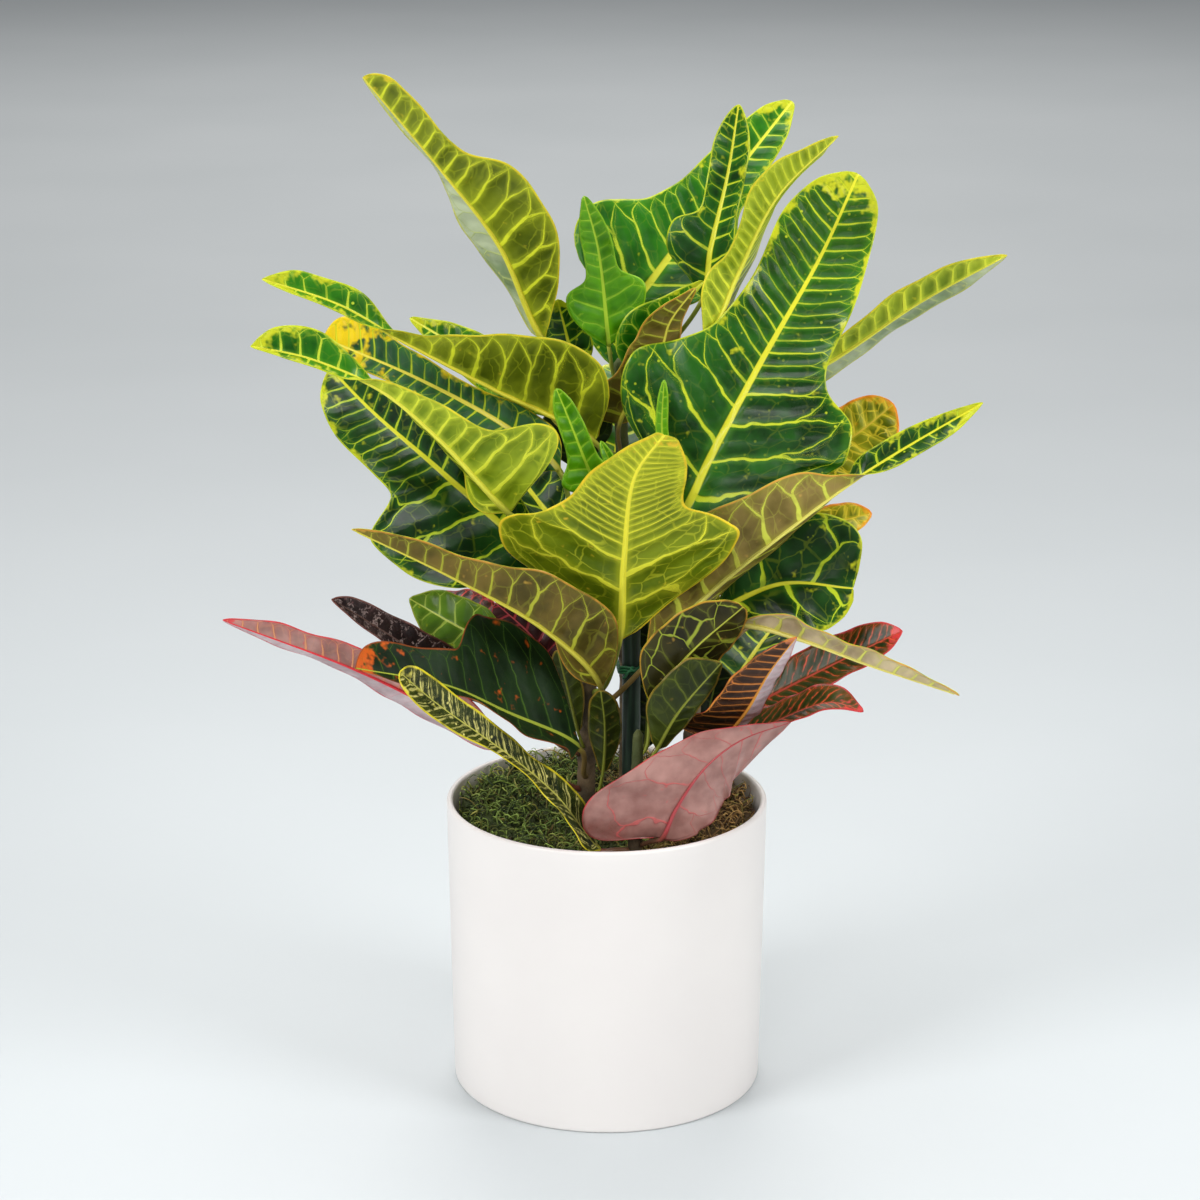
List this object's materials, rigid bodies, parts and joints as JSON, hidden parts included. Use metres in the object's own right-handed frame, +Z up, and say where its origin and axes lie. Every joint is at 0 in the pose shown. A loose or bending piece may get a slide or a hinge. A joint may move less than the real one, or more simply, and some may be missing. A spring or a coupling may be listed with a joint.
{
  "type": "potted croton",
  "caption": "Potted croton house plant: lobed, veined leaves on several stems over moss, tied to a stake, in a plain white glazed cylinder pot.",
  "frame": {"origin": "centre of the pot's flat base, on the surface that it stands on", "axes": "+Z up along the pot's axis, which is the way the plant stands; -Y towards the picture's viewer and +X to the viewer's right"},
  "size_m": [0.3788, 0.2543, 0.5136],
  "materials": {
    "pot_glaze": "gloss",
    "soil": "matte",
    "moss": "matte",
    "stake": "satin",
    "tie": "satin",
    "bark": "matte",
    "leaf_green": "satin",
    "leaf_young": "satin",
    "leaf_olive": "satin",
    "leaf_bronze": "satin",
    "leaf_dark": "satin",
    "leaf_mauve": "satin",
    "leaf_orange": "satin",
    "leaf_variegated": "satin"
  },
  "bodies": {
    "root": {"pot": "pot_glaze", "soil": "soil", "moss": "moss", "stake": "stake", "tie": "tie", "stem_left": "bark", "stem_tall": "bark", "stem_right": "bark", "stem_front": "bark", "leaf_crown_tall": "leaf_olive", "leaf_crown_young": "leaf_young", "leaf_crown_back": "leaf_green", "leaf_crown_upright": "leaf_green", "leaf_crown_diagonal": "leaf_olive", "leaf_great_right": "leaf_green", "leaf_far_right": "leaf_olive", "leaf_edge_yellow": "leaf_orange", "leaf_edge_small": "leaf_orange", "leaf_crown_folded": "leaf_green", "leaf_crown_bronze": "leaf_bronze", "leaf_front_fiddle": "leaf_olive", "leaf_front_left_low": "leaf_bronze", "leaf_long_right": "leaf_bronze", "leaf_dark_right": "leaf_dark", "leaf_great_left": "leaf_dark", "leaf_twist_left": "leaf_young", "leaf_twist_upper_left": "leaf_olive", "leaf_yellow_tip": "leaf_variegated", "leaf_peek_left": "leaf_green", "leaf_crown_shadow": "leaf_dark", "leaf_shoot": "leaf_young", "leaf_bud": "leaf_young", "leaf_needle": "leaf_young", "leaf_low_left_green": "leaf_green", "leaf_low_left_black": "leaf_dark", "leaf_low_left_great": "leaf_dark", "leaf_folded_variegated": "leaf_variegated", "leaf_long_left": "leaf_mauve", "leaf_rim_mauve": "leaf_mauve", "leaf_orange_veined": "leaf_orange", "leaf_red_lower": "leaf_mauve", "leaf_red_upper": "leaf_dark", "leaf_olive_pointer": "leaf_olive", "leaf_front_cells": "leaf_bronze", "leaf_front_low": "leaf_olive", "leaf_inner_narrow": "leaf_dark", "leaf_inner_dark": "leaf_dark", "leaf_inner_left": "leaf_dark", "leaf_inner_middle": "leaf_dark", "leaf_inner_right": "leaf_dark", "leaf_maroon_left": "leaf_dark", "leaf_back_high": "leaf_green", "leaf_back_right_high": "leaf_green", "leaf_back_middle": "leaf_olive", "leaf_back_left_high": "leaf_dark", "leaf_back_left": "leaf_dark", "leaf_back_right": "leaf_orange", "leaf_back_low_middle": "leaf_dark", "leaf_back_low_left": "leaf_mauve", "leaf_back_low_right": "leaf_mauve"}
  },
  "joints": []
}
